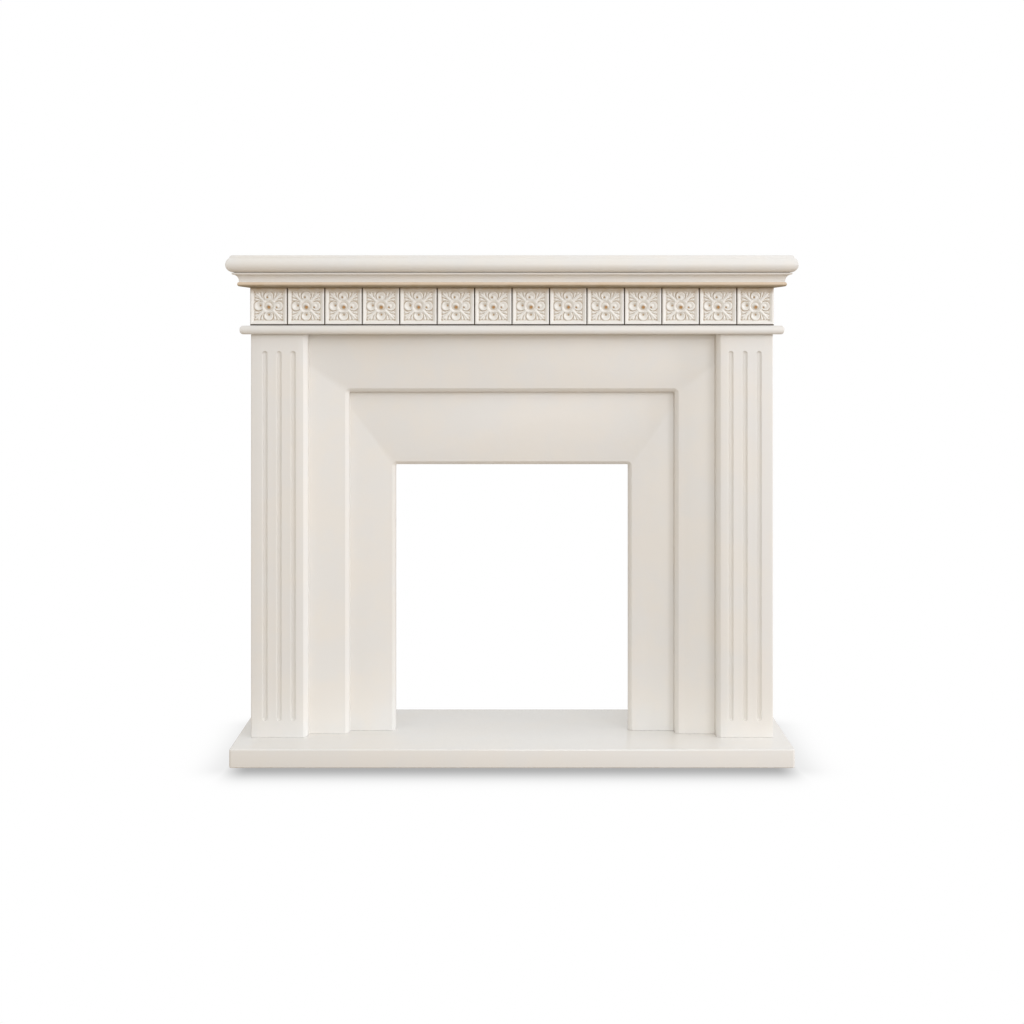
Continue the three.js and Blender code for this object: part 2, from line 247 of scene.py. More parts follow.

# %% The floor's paper and the shadow painted on it
FLOOR_GLOW = (0.40, 0.32, 0.235, 1)
FRONT_SHADOW = 0.58
FRONT_SHADOW_REACH = 0.08
SHADOW_PAST_ENDS = 0.035
SHADOW_FADES_FROM = 0.05
SIDE_SHADOW = 0.16
SIDE_SHADOW_REACH = 0.06
paper = Finish("floor_paper", 0.9)
low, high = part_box("hearth")
across_floor = paper.axis(paper.place(), "X")
along_floor = paper.axis(paper.place(), "Y")
from_middle = across_floor.maths("ABSOLUTE", across_floor, 0)


def fading(distances, reach):
    """1 where all distances are 0, fading to nothing within about twice the reach."""
    squares = sum(distance * distance for distance in distances) * (1 / reach**2)
    return squares.maths("POWER", math.exp(-1), squares)


along_front = paper.between(from_middle, high.x + SHADOW_PAST_ENDS, high.x - SHADOW_FADES_FROM)
front = along_front * fading([along_floor - low.y], FRONT_SHADOW_REACH)
beside = [
    (from_middle - high.x).at_least(0),
    (along_floor - high.y).at_least(0),
    (low.y - along_floor).at_least(0),
]
# A painted shadow: darkest along the foot of the slab's front, fainter beside its ends and sides
shade = (front * FRONT_SHADOW).at_least(fading(beside, SIDE_SHADOW_REACH) * SIDE_SHADOW)
white_paper = paper.make("ShaderNodeEmission", {}, {"Color": WHITE, "Strength": 1.0})
black_paper = paper.make("ShaderNodeEmission", {}, {"Color": WHITE, "Strength": 0.0})
seen_paper = paper.make("ShaderNodeMixShader", {}, {0: shade, 1: white_paper, 2: black_paper})
glow = paper.make("ShaderNodeEmission", {}, {"Color": FLOOR_GLOW, "Strength": 1.0})
paper.for_camera(glow, seen_paper, "Material Output")
floor_mesh.materials.append(paper.material)
print("floor paper laid")

# %% [markdown]
# ## The stone
#
# Cast marble is ground stone in a cream binder. From a step away it is one even cream; closer, it
# has soft clouds a hand wide, a little warmer and a little greyer, and grains the size of sand. The
# surface is honed, so its sheen is broad, and it wanders slightly with the clouds. The hearth is the
# same stone polished, which also makes it paler. Only the tiles have a plainer and paler ground, so
# the stone is one function that returns the colour, and every other finish begins with it.


# %% Cream stone
CREAM_WARM = (0.802, 0.762, 0.697, 1)
CREAM_COOL = (0.782, 0.757, 0.711, 1)
GRAIN_DARK = (0.640, 0.600, 0.525, 1)
POLISHED_PALE = (0.865, 0.845, 0.805, 1)
CLOUD_SCALE = 9.0
CLOUD_SPAN = (0.36, 0.64)
SAND_SCALE = 620.0
SAND_SPAN = (0.62, 0.80)
SAND_SHARE = 0.16


def cream_stone(finish):
    """Clouds and sand grains of cream marble, as a colour."""
    clouds = finish.noise(CLOUD_SCALE, 4.0, 0.55)
    ground = finish.blend(finish.between(clouds, *CLOUD_SPAN), CREAM_WARM, CREAM_COOL)
    grains = finish.between(finish.noise(SAND_SCALE, 1.0), *SAND_SPAN)
    return finish.blend(grains * SAND_SHARE, ground, GRAIN_DARK)


# %% A honed skin and a polished one
HONED_SHEEN = 0.42
POLISHED_SHEEN = 0.14
POLISH_PALES = 0.35
WANDER_SCALE = 16.0
RIPPLE_SCALE = 38.0
GRIT_SCALE = 900.0


def honed(finish, sheen=HONED_SHEEN, spread=0.16, pit_depth=0.0003):
    """Sheen that wanders a little, and the finest unevenness."""
    wander = finish.noise(WANDER_SCALE, 3.0)
    finish.feed(finish.shader.inputs["Roughness"], sheen + (wander - 0.5) * spread)
    ripple = finish.noise(RIPPLE_SCALE, 2.0)
    grit = finish.noise(GRIT_SCALE, 2.0)
    finish.relief(ripple * 0.8 + grit * 0.2, pit_depth)


marble = Finish("cream_marble", HONED_SHEEN)
marble.paint(cream_stone(marble))
honed(marble)

hearth_stone = Finish("polished_marble", POLISHED_SHEEN)
polished_cream = hearth_stone.blend(POLISH_PALES, cream_stone(hearth_stone), POLISHED_PALE)
hearth_stone.paint(polished_cream)
honed(hearth_stone, POLISHED_SHEEN, spread=0.06, pit_depth=0.00008)

print("finishes:", marble.material.name, hearth_stone.material.name)

# %% [markdown]
# ## One way to build every moulded piece
#
# Almost every piece here is a stack of closed outlines: a slab is its plan at several heights, a
# moulding is its profile at both ends, and a board with an opening is its face drawn at several
# depths. A subdivision surface would need support loops at each arris; a stack of outlines puts each
# edge exactly where the profile says. The helper joins neighbouring outlines with quads and closes
# the two ends, then smooths all but the sharp edges.


# %% From outlines to a piece
def dress(piece, nodes, finish, crease=32.0):
    """Put a finish on a piece, smooth it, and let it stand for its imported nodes."""
    mesh = piece.data
    mesh.materials.append(finish.material)
    mesh.shade_smooth()
    mesh.set_sharp_from_angle(angle=math.radians(crease))
    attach(piece, "root")
    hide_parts(*nodes)


def facing_out(mesh):
    """Turn every face of a closed mesh outwards."""
    shell = bmesh.new()
    shell.from_mesh(mesh)
    bmesh.ops.recalc_face_normals(shell, faces=shell.faces)
    shell.to_mesh(mesh)
    shell.free()


def stacked(name, outlines):
    """A closed piece through a row of outlines that have the same number of points."""
    count = len(outlines[0])
    points = [tuple(point) for outline in outlines for point in outline]
    faces = []
    for level in range(len(outlines) - 1):
        for i in range(count):
            j = (i + 1) % count
            low, high = level * count, (level + 1) * count
            faces.append((low + i, low + j, high + j, high + i))
    faces.append(tuple(range(count)))
    faces.append(tuple(range(len(points) - count, len(points))))
    mesh = bpy.data.meshes.new(name)
    mesh.from_pydata(points, [], faces)
    facing_out(mesh)
    piece = bpy.data.objects.new(name, mesh)
    bpy.context.scene.collection.objects.link(piece)
    print(name, len(mesh.polygons), "faces")
    return piece


def arc(middle, radii, start, end, steps):
    """Points of an upright ellipse's arc, from one angle to another in degrees."""
    angles = np.radians(np.linspace(start, end, steps + 1))
    return [(middle[0] + radii[0] * math.cos(a), middle[1] + radii[1] * math.sin(a)) for a in angles]


# %% [markdown]
# ## Slabs: the hearth, the rail and the shelf
#
# Each slab is a rectangle in plan whose front and side edges follow a profile, while the back stays
# flat against the wall. The profile is a list of how far the edge stands out and at what height. The
# corners of the plan are eased by a small radius, as a polisher's pad leaves them.


# %% Slabs with a moulded edge
SLAB_CORNER = 0.0015
WALL_CORNER = 0.0006
CORNER_STEPS = 5


def slab_plan(half, front, back, height, corner, back_corner=WALL_CORNER):
    """The plan of a slab at one height, eased at its corners."""
    plan = []
    corners = [
        (half, back, back_corner, 0), (-half, back, back_corner, 90),
        (-half, front, corner, 180), (half, front, corner, 270),
    ]
    for x, y, radius, start in corners:
        inward_x = x - math.copysign(radius, x)
        inward_y = y - radius if y == back else y + radius
        turn = arc((inward_x, inward_y), (radius, radius), start, start + 90, CORNER_STEPS)
        plan += [(across, along, height) for across, along in turn]
    return plan


def moulded_slab(name, profile):
    """A slab whose front and sides follow a profile of (how far out, height)."""
    low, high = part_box(name)
    most = max(out for out, height in profile)
    outlines = [
        slab_plan(high.x - most + out, low.y + most - out, high.y, height, SLAB_CORNER)
        for out, height in profile
    ]
    return stacked(name, outlines)


# %% The hearth
low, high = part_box("hearth")
HEARTH_ARRIS = 0.003
HEARTH_CORNER = 0.006
quarter = arc((0, 0), (HEARTH_ARRIS, HEARTH_ARRIS), 0, 90, 5)
lower_edge = [(out - HEARTH_ARRIS, low.z + HEARTH_ARRIS - rise) for out, rise in reversed(quarter)]
upper_edge = [(out - HEARTH_ARRIS, high.z - HEARTH_ARRIS + rise) for out, rise in quarter]
outlines = [
    slab_plan(high.x + out, low.y - out, high.y + out, z, HEARTH_CORNER + out, HEARTH_CORNER + out)
    for out, z in lower_edge + upper_edge
]
dress(stacked("hearth_slab", outlines), ["hearth"], hearth_stone)

# %% The rounded rail
low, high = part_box("bead_rail")
RAIL_NOSE = 0.0075
middle = (low.z + high.z) / 2
nose = arc((-RAIL_NOSE, middle), (RAIL_NOSE, (high.z - low.z) / 2), -90, 90, 20)
dress(moulded_slab("bead_rail", nose), ["bead_rail"], marble)

# %% The shelf
low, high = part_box("mantel_shelf")
TORUS_IN = 0.0167
TORUS_RISE = 0.0195
TORUS_TALL = 0.0185
TORUS_ENDS_AT = 59
TORUS_FOOT = 0.002
OVOLO = 0.007
OVOLO_BACK = 0.0157
torus = arc((-TORUS_IN, low.z + TORUS_RISE), (TORUS_IN, TORUS_TALL), -90, TORUS_ENDS_AT, 26)
ovolo = arc((-OVOLO_BACK, high.z - OVOLO), (OVOLO, OVOLO), 0, 90, 8)
shelf_profile = [(-TORUS_IN - TORUS_FOOT, low.z)] + torus + ovolo
dress(moulded_slab("mantel_shelf", shelf_profile), ["mantel_shelf"], marble)

# %% [markdown]
# ## The stepped boards
#
# The outer board and the back panel each have an opening whose front edge is cut back at 45 degrees,
# while the other edges are only broken with sandpaper. So each point of the board's outline carries
# its own width of chamfer and the direction in which its edge moves as the board is drawn deeper.
# The two arrises that a chamfer leaves are softened a little.

# %% The section of a chamfer
# How far the edge is set back and how deep it lies, as shares of the chamfer's width
CHAMFER = [(1.06, 0), (1.02, 0.010), (0.975, 0.038), (0.038, 0.975), (0.010, 1.02), (0, 1.06)]


# %% Boards with a chamfered opening
BROKEN = 0.0006
OPENING_CORNER = 0.004


def open_board(name, opening_half, opening_top, chamfer):
    """A board with a doorway-shaped opening whose front edge is chamfered."""
    low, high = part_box(name)
    edge = [
        (low.x, low.z, 1, 0, BROKEN), (low.x, high.z, 1, -1, BROKEN),
        (high.x, high.z, -1, -1, BROKEN), (high.x, low.z, -1, 0, BROKEN),
        (opening_half, low.z, 1, 0, chamfer),
    ]
    for start, side in ((0, 1), (90, -1)):
        for a in np.radians(np.linspace(start, start + 90, 13)):
            across, up = math.cos(a), math.sin(a)
            x = side * (opening_half - OPENING_CORNER) + OPENING_CORNER * across
            z = opening_top - OPENING_CORNER + OPENING_CORNER * up
            edge.append((x, z, across, up, chamfer))
    edge.append((-opening_half, low.z, -1, 0, chamfer))
    outlines = []
    for back, deep in CHAMFER:
        outlines.append([
            (x + dx * width * back, low.y + width * deep, z + dz * width * back)
            for x, z, dx, dz, width in edge
        ])
    outlines.append([(x, high.y, z) for x, z, dx, dz, width in edge])
    return stacked(name, outlines)


# %% The outer board and the back panel
# Half the opening's width, its height above the hearth, and the chamfer along it
OPENINGS = {"outer_frame": (0.410, 0.859, 0.009), "back_panel": (0.295, 0.674, 0.008)}
CHAMFER_CREASE = 25.0
hearth_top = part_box("hearth")[1].z
for name, (opening_half, opening_tall, chamfer) in OPENINGS.items():
    board = open_board(name, opening_half, hearth_top + opening_tall, chamfer)
    dress(board, [name], marble, CHAMFER_CREASE)

# %% [markdown]
# ## Plain boards
#
# The side boards and the frieze's boards are square-edged planks whose arrises are broken by half a
# millimetre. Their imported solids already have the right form, so each is copied, its triangles are
# merged back into flat faces, and its edges get a narrow bevel. The original stays as it is.


# %% Break the arrises of a plain board
BOARD_CREASE = 60.0
BOARD_ARRIS = 0.0007


def eased_board(node):
    """A copy of a packed board with softened edges."""
    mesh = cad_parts[node].data.copy()
    mesh.name = node
    mesh.materials.clear()
    shell = bmesh.new()
    shell.from_mesh(mesh)
    bmesh.ops.remove_doubles(shell, verts=shell.verts, dist=1e-6)
    bmesh.ops.dissolve_limit(
        shell, angle_limit=math.radians(1), verts=shell.verts, edges=shell.edges, delimit=set()
    )
    bmesh.ops.bevel(
        shell, geom=shell.edges[:], offset=BOARD_ARRIS, segments=3, profile=0.5, affect="EDGES"
    )
    bmesh.ops.recalc_face_normals(shell, faces=shell.faces)
    shell.to_mesh(mesh)
    shell.free()
    piece = bpy.data.objects.new(node, mesh)
    bpy.context.scene.collection.objects.link(piece)
    print(node, len(mesh.polygons), "faces")
    return piece


for node in ("left_cheek", "right_cheek", "frieze_left_end", "frieze_right_end"):
    dress(eased_board(node), [node], marble, BOARD_CREASE)

# %% The frieze's board, with shade painted dark in its channel behind the open joints between the tiles
# A dark brown painted as the shade in the deep joints, on the channel and on the tiles' sides
PAINTED_JOINT_SHADE = (0.080, 0.052, 0.030, 1)
JOINT_GLEAM = 0.2
# Depths behind the board's face between which the painted shade sets in, and fades out at the channel's
# floor
CHANNEL_SHADE_FROM = (0.003, 0.005)
CHANNEL_SHADE_TO = (0.0108, 0.0105)
channelled = Finish("channel_shaded_marble", HONED_SHEEN)
channelled.feed(channelled.shader.inputs["Specular IOR Level"], JOINT_GLEAM)
depth = channelled.axis(channelled.place(), "Y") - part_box("frieze_board")[0].y
channel_shade = channelled.between(depth, *CHANNEL_SHADE_FROM) * channelled.between(depth, *CHANNEL_SHADE_TO)
channelled.paint(channelled.blend(channel_shade, cream_stone(channelled), PAINTED_JOINT_SHADE))
honed(channelled)
dress(eased_board("frieze_board"), ["frieze_board"], channelled, BOARD_CREASE)

# %% [markdown]
# ## The fluted pilasters
#
# A flute is a groove with a round bottom, cut by a ball-shaped cutter that plunges, runs up and lifts
# out again, so its ends are round too. Cutting it with a Boolean would leave ragged triangles, so
# the pilaster is a stack of cross-sections from foot to top, and the depth of each flute at each
# height comes straight from the cutter's radius. The sections lie close together only at the
# flutes' ends, where the shape changes.

# %% The cutter's path
PILASTER_CHAMFER = 0.0095
OUTER_ROUND = 0.003
PILASTER_CREASE = 28.0
FLUTE_RADIUS = 0.00635
FLUTE_SUNK = 0.00135
FLUTE_PITCH = 0.035
FLUTE_FOOT = hearth_top + 0.041
FLUTE_HEAD = hearth_top + 0.962
FLUTE_SOFT = 0.0004
flute_half = math.sqrt(FLUTE_RADIUS**2 - FLUTE_SUNK**2)
print("flutes", round(2 * flute_half, 4), "wide, from", round(FLUTE_FOOT, 3), "to", round(FLUTE_HEAD, 3))


def flute_depth(aside, height):
    """How deep the cutter goes at a distance from the flute's middle line."""
    past_foot = max(FLUTE_FOOT + flute_half - height, 0)
    past_head = max(height - FLUTE_HEAD + flute_half, 0)
    distance = math.sqrt(aside**2 + max(past_foot, past_head)**2)
    cut = math.sqrt(max(FLUTE_RADIUS**2 - distance**2, 0)) - FLUTE_SUNK
    if abs(cut) > FLUTE_SOFT:
        return max(cut, 0)
    return (cut + FLUTE_SOFT)**2 / (4 * FLUTE_SOFT)


# %% Where the sections' points lie
# Across a flute, in shares of its half width: close together at its edges
across_flute = np.concatenate([
    np.linspace(-1.16, -0.8, 10), np.linspace(-0.7, 0.7, 15), np.linspace(0.8, 1.16, 10),
])
# Along the pilaster, from a flute's end inwards
from_end = np.concatenate([
    np.linspace(-0.0012, flute_half * 0.5, 22), np.linspace(flute_half * 0.6, flute_half * 1.1, 6),
])
print(len(across_flute), "points across a flute,", len(from_end), "sections at each end")


# %% A pilaster as a stack of sections
def pilaster(name, side):
    """A plank with three flutes and a chamfered inner edge."""
    low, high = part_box(name)
    inner = min(abs(low.x), abs(high.x))
    outer = max(abs(low.x), abs(high.x))
    front, back = low.y, high.y
    face = []
    for k in (-1, 0, 1):
        line = (inner + outer) / 2 + k * FLUTE_PITCH
        face += [(line + s * flute_half, s * flute_half) for s in across_flute]
    heights = [low.z] + [FLUTE_FOOT + e for e in from_end]
    heights += [FLUTE_HEAD - e for e in reversed(from_end)] + [high.z]
    inner_edge = [
        (inner + PILASTER_CHAMFER * back, front + PILASTER_CHAMFER * deep)
        for back, deep in reversed(CHAMFER)
    ]
    outer_arris = arc(
        (outer - OUTER_ROUND, front + OUTER_ROUND), (OUTER_ROUND, OUTER_ROUND), 270, 360, 5
    )
    outlines = []
    for height in heights:
        cut = [(x, front + flute_depth(aside, height)) for x, aside in face]
        section = [(inner, back)] + inner_edge + cut + outer_arris + [(outer, back)]
        outlines.append([(side * x, y, height) for x, y in section])
    return stacked(name, outlines)


for name, side in (("left_pilaster", -1), ("right_pilaster", 1)):
    dress(pilaster(name, side), [name], marble, PILASTER_CREASE)

# %% [markdown]
# ## The crown moulding
#
# Between the frieze and the shelf runs a small moulding: a bead, a cove above it and a thin flat
# fillet under the shelf. The bead has been brushed with a brown and gold wash and wiped, so it is
# darkest underneath and in the line above it. The moulding is its profile drawn at both ends of each
# length, with mitres at the two front corners.

# %% The washed bead's finish
WASH_BROWN = (0.29, 0.21, 0.105, 1)
WASH_GOLD = (0.70, 0.54, 0.37, 1)
# How far below the shelf the wash begins and is full, and where it turns brown
WASH_BEGINS = (0.0226, 0.0238)
WASH_DARKENS = (0.0268, 0.0325)
WASH_LEAST = 0.66
STREAKS_ADD = 0.4
STREAK_SCALE = 30.0
gilt = Finish("gilt_washed_marble", HONED_SHEEN)
below_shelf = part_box("mantel_shelf")[0].z - gilt.axis(gilt.place(), "Z")
streaks = gilt.noise(STREAK_SCALE, 4.0, 0.6)
on_bead = gilt.between(below_shelf, *WASH_BEGINS)
bead_wash = gilt.blend(gilt.between(below_shelf, *WASH_DARKENS), WASH_GOLD, WASH_BROWN)
gilt.paint(gilt.blend(on_bead * (WASH_LEAST + streaks * STREAKS_ADD), cream_stone(gilt), bead_wash))
honed(gilt)
print("bead's finish:", gilt.material.name)


# %% The crown's profile
# Distances out from the pilasters' face, and drops below the shelf
CROWN_OUT = 0.041
CROWN_BACK = 0.0033
BEAD_OUT = 0.024
BEAD_DROP = 0.028
BEAD_RADII = (0.005, 0.0055)
COVE_OUT = 0.0375
COVE_DROP = 0.021
COVE_RADII = (0.0122, 0.016)
COVE_FOOT_OUT = 0.0253
FILLET_OUT = 0.0398
FILLET_DROP = 0.0044


def crown_profile(low_z, high_z):
    """(how far out, height), from the wall side round the front."""
    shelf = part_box("mantel_shelf")[0].z
    bead = arc((BEAD_OUT, shelf - BEAD_DROP), BEAD_RADII, -100, 80, 18)
    cove = arc((COVE_OUT, shelf - COVE_DROP), COVE_RADII, 165, 90, 14)
    return (
        [(CROWN_BACK, low_z)] + bead + [(COVE_FOOT_OUT, shelf - COVE_DROP)] + cove
        + [(FILLET_OUT, shelf - FILLET_DROP), (CROWN_OUT, high_z), (CROWN_BACK, high_z)]
    )


# %% Three mitred lengths
MITRE_GAP = 0.0003
low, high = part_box("crown_front")
face_x = high.x - CROWN_OUT
face_y = low.y + CROWN_OUT
profile = crown_profile(low.z, high.z)
wall_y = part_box("crown_left")[1].y
ends = {
    "crown_front": [
        [(-face_x - out, face_y - out, z) for out, z in profile],
        [(face_x + out, face_y - out, z) for out, z in profile],
    ],
}
for name, side in (("crown_left", -1), ("crown_right", 1)):
    ends[name] = [
        [(side * (face_x + out), face_y + MITRE_GAP - out, z) for out, z in profile],
        [(side * (face_x + out), wall_y, z) for out, z in profile],
    ]
for name, outlines in ends.items():
    dress(stacked(name, outlines), [name], gilt)

# %% [markdown]
# ## The carved tiles
#
# Each tile is a square with a stepped rim around a flower: a boss with a pit in it, four scooped
# petals, and in each corner a rounded blade with four lobes. A relief like this is a height above
# the ground at each point, so it is computed on a grid of lines, as a carver would strike depths
# from the face, and not modelled stroke by stroke. Lengths here are in millimetres, and places are
# measured from the tile's middle.


# %% Strokes of the gouge
def ramp(value, start, end):
    """0 at the start, 1 at the end, and a straight line in between."""
    return np.clip((value - start) / (end - start), 0, 1)


def ridge(value, middle, half):
    """1 at the middle, falling to 0 at half the ridge's width on either side."""
    return np.clip(1 - ((value - middle) / half)**2, 0, 1)


def hump(across, up, x, z, radius):
    """1 in the middle of a spot, falling smoothly to 0 at its radius."""
    away = np.clip(((across - x)**2 + (up - z)**2) / radius**2, 0, 1)
    return (1 - away)**2


def soft_step(x, stops):
    """A height that passes through (distance, height) stops with rounded steps."""
    distances, heights = zip(*stops)
    k = np.clip(np.searchsorted(distances, x) - 1, 0, len(stops) - 2)
    start, end = np.take(distances, k), np.take(distances, k + 1)
    t = np.clip((x - start) / (end - start), 0, 1)
    rise = np.take(heights, k + 1) - np.take(heights, k)
    return np.take(heights, k) + rise * t * t * (3 - 2 * t)


def melt(first, second, soft):
    """The higher of two surfaces, with a fillet where they meet."""
    share = np.clip(0.5 + 0.5 * (first - second) / soft, 0, 1)
    return second + (first - second) * share + soft * share * (1 - share)


# %% Petals
PETAL_MIDDLE = 25.0
PETAL_REACH = 10.7
PETAL_HALF = 11.6
GROUND = 2.2
LIP_BEGINS = 0.88
# From the deepest point outwards, with 1 at the petal's outline: (distance, height)
PETAL_SECTION = [
    (-0.2, -0.6), (0.1, -0.6), (LIP_BEGINS, 5.2), (0.93, 5.2), (1.05, GROUND), (1.3, GROUND),
]
BUD_ROOT = -1.0
BUD_FULLNESS = 0.7
BUD_FILLET = 1.2
PIT_DEPTH = 1.5
PIT_RADIUS = 2.6
# Each petal: its direction, and then in lengths along it and beside it the deepest point, the bud's
# place with its height and half width, and the place of the drilled pit
PETALS = [
    ((0, 1), (18.6, -1.0), (19.6, 1.8, 5.2, 11.0), (21.7, -3.1)),
    ((0, -1), (19.6, 1.5), (20.0, 0.0, 0.0, 5.0), (21.6, -0.8)),
    ((1, 0), (18.0, 1.0), (21.4, -0.4, 5.2, 11.0), (19.9, 3.4)),
    ((-1, 0), (19.6, 1.5), (20.0, 0.0, 0.0, 5.0), (20.5, 1.2)),
]


def petal_distance(along, aside, deepest):
    """0 at the petal's deepest point and 1 all along its outline."""
    x, y = (along - deepest[0]) / PETAL_REACH, (aside - deepest[1]) / PETAL_HALF
    from_x, from_y = (deepest[0] - PETAL_MIDDLE) / PETAL_REACH, deepest[1] / PETAL_HALF
    length = np.sqrt(x**2 + y**2) + 1e-9
    slant = (x * from_x + y * from_y) / length
    return length / (np.sqrt(1 - from_x**2 - from_y**2 + slant**2) - slant)


def petal(along, aside, deepest, bud, pit):
    """A cupped petal, deepest near the boss, with a thin lip, a bud and a small pit."""
    distance = petal_distance(along, aside, deepest)
    scoop = soft_step(distance, PETAL_SECTION)
    bud_along, bud_aside, bud_height, bud_half = bud
    dome = 1 - ((along - bud_along) / bud_half)**2 - ((aside - bud_aside) / bud_half)**2
    bud_face = BUD_ROOT + (bud_height - BUD_ROOT) * np.clip(dome, 0, 1)**BUD_FULLNESS
    inner = melt(scoop, bud_face, BUD_FILLET)
    inner = inner - PIT_DEPTH * hump(along, aside, pit[0], pit[1], PIT_RADIUS)
    return np.where(distance < LIP_BEGINS, inner, scoop)


# %% Leaves and boss
# Along the diagonal from the tile's middle: (distance, half width) and (distance, height)
BLADE_HALF = [(8, 5.4), (16, 5.6), (30, 5.6), (42, 4.8), (50, 2.2)]
BLADE_CREST = [(8, 5.2), (16, 5.8), (40, 5.6), (49.5, 4.2), (51, 0)]
# Each lobe: where it starts and ends, its half widths there, and its height
LOBES = [
    ((13.0, 15.5), (16.2, 31.2), (1.8, 3.7), 5.0),
    ((19.0, 21.5), (24.4, 31.4), (1.8, 3.7), 4.8),
]
LOBE_STARTS_AT = 0.55
LOBE_FILLET = 0.6
BOSS_FOOT = 10.4
BOSS_SECTION = [(-5.5, 3.2), (0, 7.8), (9.3, 1.9), (BOSS_FOOT, 1.8)]
BOSS_PIT = (0.6, -2.4, 5.0)
BOSS_PIT_DEPTH = 2.6


def lobe(across, up, start, end, widths, height):
    """A rounded lobe along a straight line, wider and higher at its far end."""
    run = np.array(end) - np.array(start)
    length = math.hypot(*run)
    along = ((across - start[0]) * run[0] + (up - start[1]) * run[1]) / length**2
    aside = ((across - start[0]) * run[1] - (up - start[1]) * run[0]) / length
    t = np.clip(along, 0, 1)
    width = widths[0] + (widths[1] - widths[0]) * t
    away = (aside**2 + ((along - t) * length)**2) / width**2
    share = LOBE_STARTS_AT + (1 - LOBE_STARTS_AT) * t
    return height * share * np.sqrt(np.clip(1 - away, 0, 1))


def leaf(across, up):
    """A rounded blade along the diagonal with two lobes on each side of it."""
    along = (across + up) / math.sqrt(2)
    aside = np.abs(across - up) / math.sqrt(2)
    half = np.interp(along, *zip(*BLADE_HALF))
    crest = np.interp(along, *zip(*BLADE_CREST))
    height = melt(crest * ridge(aside, 0, half), GROUND, LOBE_FILLET)
    for start, end, widths, tall in LOBES:
        for x, z in ((across, up), (up, across)):
            height = melt(height, lobe(x, z, start, end, widths, tall), LOBE_FILLET)
    return height


def boss(across, up, out):
    """A round button with a thumb-shaped pit low on its right."""
    return soft_step(out, BOSS_SECTION) - BOSS_PIT_DEPTH * hump(across, up, *BOSS_PIT)


# %% The whole relief
HALF = 45.2
# Round the boss: (distance from the middle, height)
DISH_SECTION = [(0, 1.8), (9.4, 1.8), (16.4, 5.4), (17.2, 5.4), (20.5, 0), (21, 0)]
LEAVES_FROM = (11.0, 14.0)
DISH_FILLET = 1.4
PETALS_FROM = (13.2, 14.8)
PETALS_END = (1.08, 1.0)
# From the tile's edge inwards: (distance, height)
RIM_SECTION = [(0, 4.8), (1.4, 6.0), (4.6, 6.0), (5.2, 5.2), (6.4, 4.9), (9.8, 2.2), (10.8, 0)]
FLOWER_ENDS = (7.6, 9.2)


def carving(across, up):
    """Height of the tile's face above the sunk ground, in millimetres."""
    x, z = np.abs(across), np.abs(up)
    out = np.sqrt(across**2 + up**2)
    edge = HALF - np.maximum(x, z)
    dish = soft_step(out, DISH_SECTION)
    leaves = ramp(out, *LEAVES_FROM)
    height = dish * (1 - leaves) + melt(leaf(x, z), dish, DISH_FILLET) * leaves
    for (turn_x, turn_z), deepest, bud, pit in PETALS:
        along = across * turn_x + up * turn_z
        aside = across * turn_z - up * turn_x
        cut = ramp(petal_distance(along, aside, deepest), *PETALS_END) * ramp(out, *PETALS_FROM)
        height = height * (1 - cut) + petal(along, aside, deepest, bud, pit) * cut
    height = np.where(out < BOSS_FOOT, np.maximum(boss(across, up, out), height), height)
    return np.maximum(soft_step(edge, RIM_SECTION), height * ramp(edge, *FLOWER_ENDS))


# %% The grid of lines
# Close together on the rim's steps, then even over the flower
RIM_LINES = [0, 0.3, 0.7, 1.1, 1.5, 3.0, 4.6, 4.8, 5.0, 5.2, 5.8, 6.4, 7.0, 7.7, 8.4, 9.0]
FLOWER_FROM = 9.6
FLOWER_LINES = 106
rim_lines = np.array(RIM_LINES)
field_lines = np.linspace(FLOWER_FROM - HALF, HALF - FLOWER_FROM, FLOWER_LINES)
lines = np.concatenate([rim_lines - HALF, field_lines, HALF - rim_lines[::-1]])
across, up = np.meshgrid(lines, lines)
face_height = carving(across, up)
print("tile grid", face_height.shape, "heights", face_height.min().round(2), face_height.max().round(2))

# %% [markdown]
# ## The wash on the tiles
#
# A thin brown glaze is brushed over the carving and wiped off again. It stays in the hollows, as a
# line around each petal and as dots in the petals, in the boss and between the ends of the leaves'
# lobes. Along the top edge, under the crown, the brown grows thicker: partly wash, and partly a
# painted shadow of the crown. Everything else is wiped pale. How much stays is worked out from the
# relief and kept on each vertex, and the tiles' sides in the joints get painted shade; noise then
# breaks the wash up, so that no two tiles are wiped alike.

# %% How much wash stays, and where, and the painted shadow under the crown
HOLLOW_WIDE = 1.2
HOLLOW_DEPTHS = (0.14, 0.74)
# From the tile's edge inwards, and from its middle outwards: (distance, share of the wash kept)
KEPT_FROM_EDGE = [(0, 0.1), (8.2, 0.1), (11.5, 1), (12, 1)]
KEPT_FROM_MIDDLE = [(0, 0.3), (20, 0.3), (24, 1), (25, 1)]
# Spots between the lobes' ends: place across and up, radius and amount
NOTCHES = [(34, 34, 4.0, 1.0), (28.6, 33.6, 3.0, 0.8), (20.4, 33.8, 3.2, 0.95), (12.2, 34.2, 3.0, 0.7)]
BOSS_SPOT = (0.9, -3.0, 8.4)
BOSS_SPOT_WASH = 1.6
BOSS_RING = (9.8, 1.5)
BOSS_RING_WASH = 0.5
PIT_SPOT_RADIUS = 4.2
PIT_SPOT_WASH = 1.45
OUTLINE_RING = (1.09, 0.10)
OUTLINE_WASH = 0.95
OUTLINE_FROM_MIDDLE = (19, 22)
OUTLINE_FROM_EDGE = (8.4, 9.8)
# Up the tile: (height, amount) of wash and of painted shadow from the crown, darker towards the top edge
CROWN_WASH_AND_SHADOW = [(-50, 0), (29, 0), (34, 0.4), (38, 0.67), (45.2, 1.15), (50, 1.15)]


